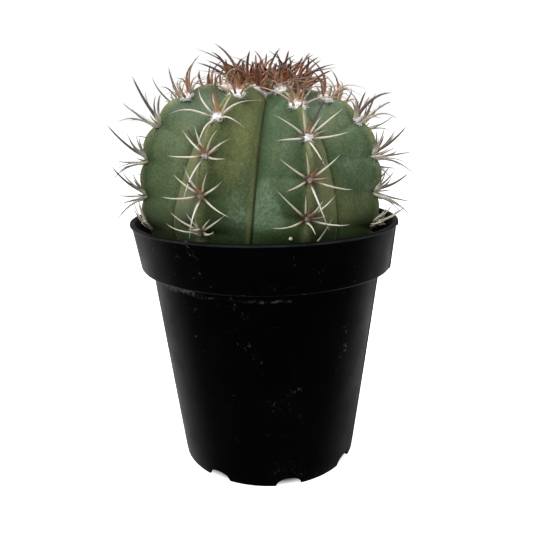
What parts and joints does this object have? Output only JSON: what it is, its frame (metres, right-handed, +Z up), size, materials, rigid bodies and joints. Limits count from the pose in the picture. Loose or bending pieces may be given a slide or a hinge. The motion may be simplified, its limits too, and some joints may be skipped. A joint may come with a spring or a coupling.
{
  "type": "potted round cactus",
  "caption": "Round ribbed cactus with spiny areoles and a woolly, spine-filled crown, growing in soil in a black plastic nursery pot with a stepped rim band.",
  "frame": {"origin": "on the pot's axis, at the level the foot ring stands on", "axes": "+Z up along the pot's axis; -Y is the front that the picture shows; +X is to the right of it"},
  "size_m": [0.1058, 0.106, 0.1603],
  "materials": {
    "pot": "satin",
    "soil": "matte",
    "plant": "satin",
    "crown": "matte"
  },
  "bodies": {
    "root": {"pot": "pot", "soil": "soil", "cactus": "plant", "crown": "crown"}
  },
  "joints": []
}
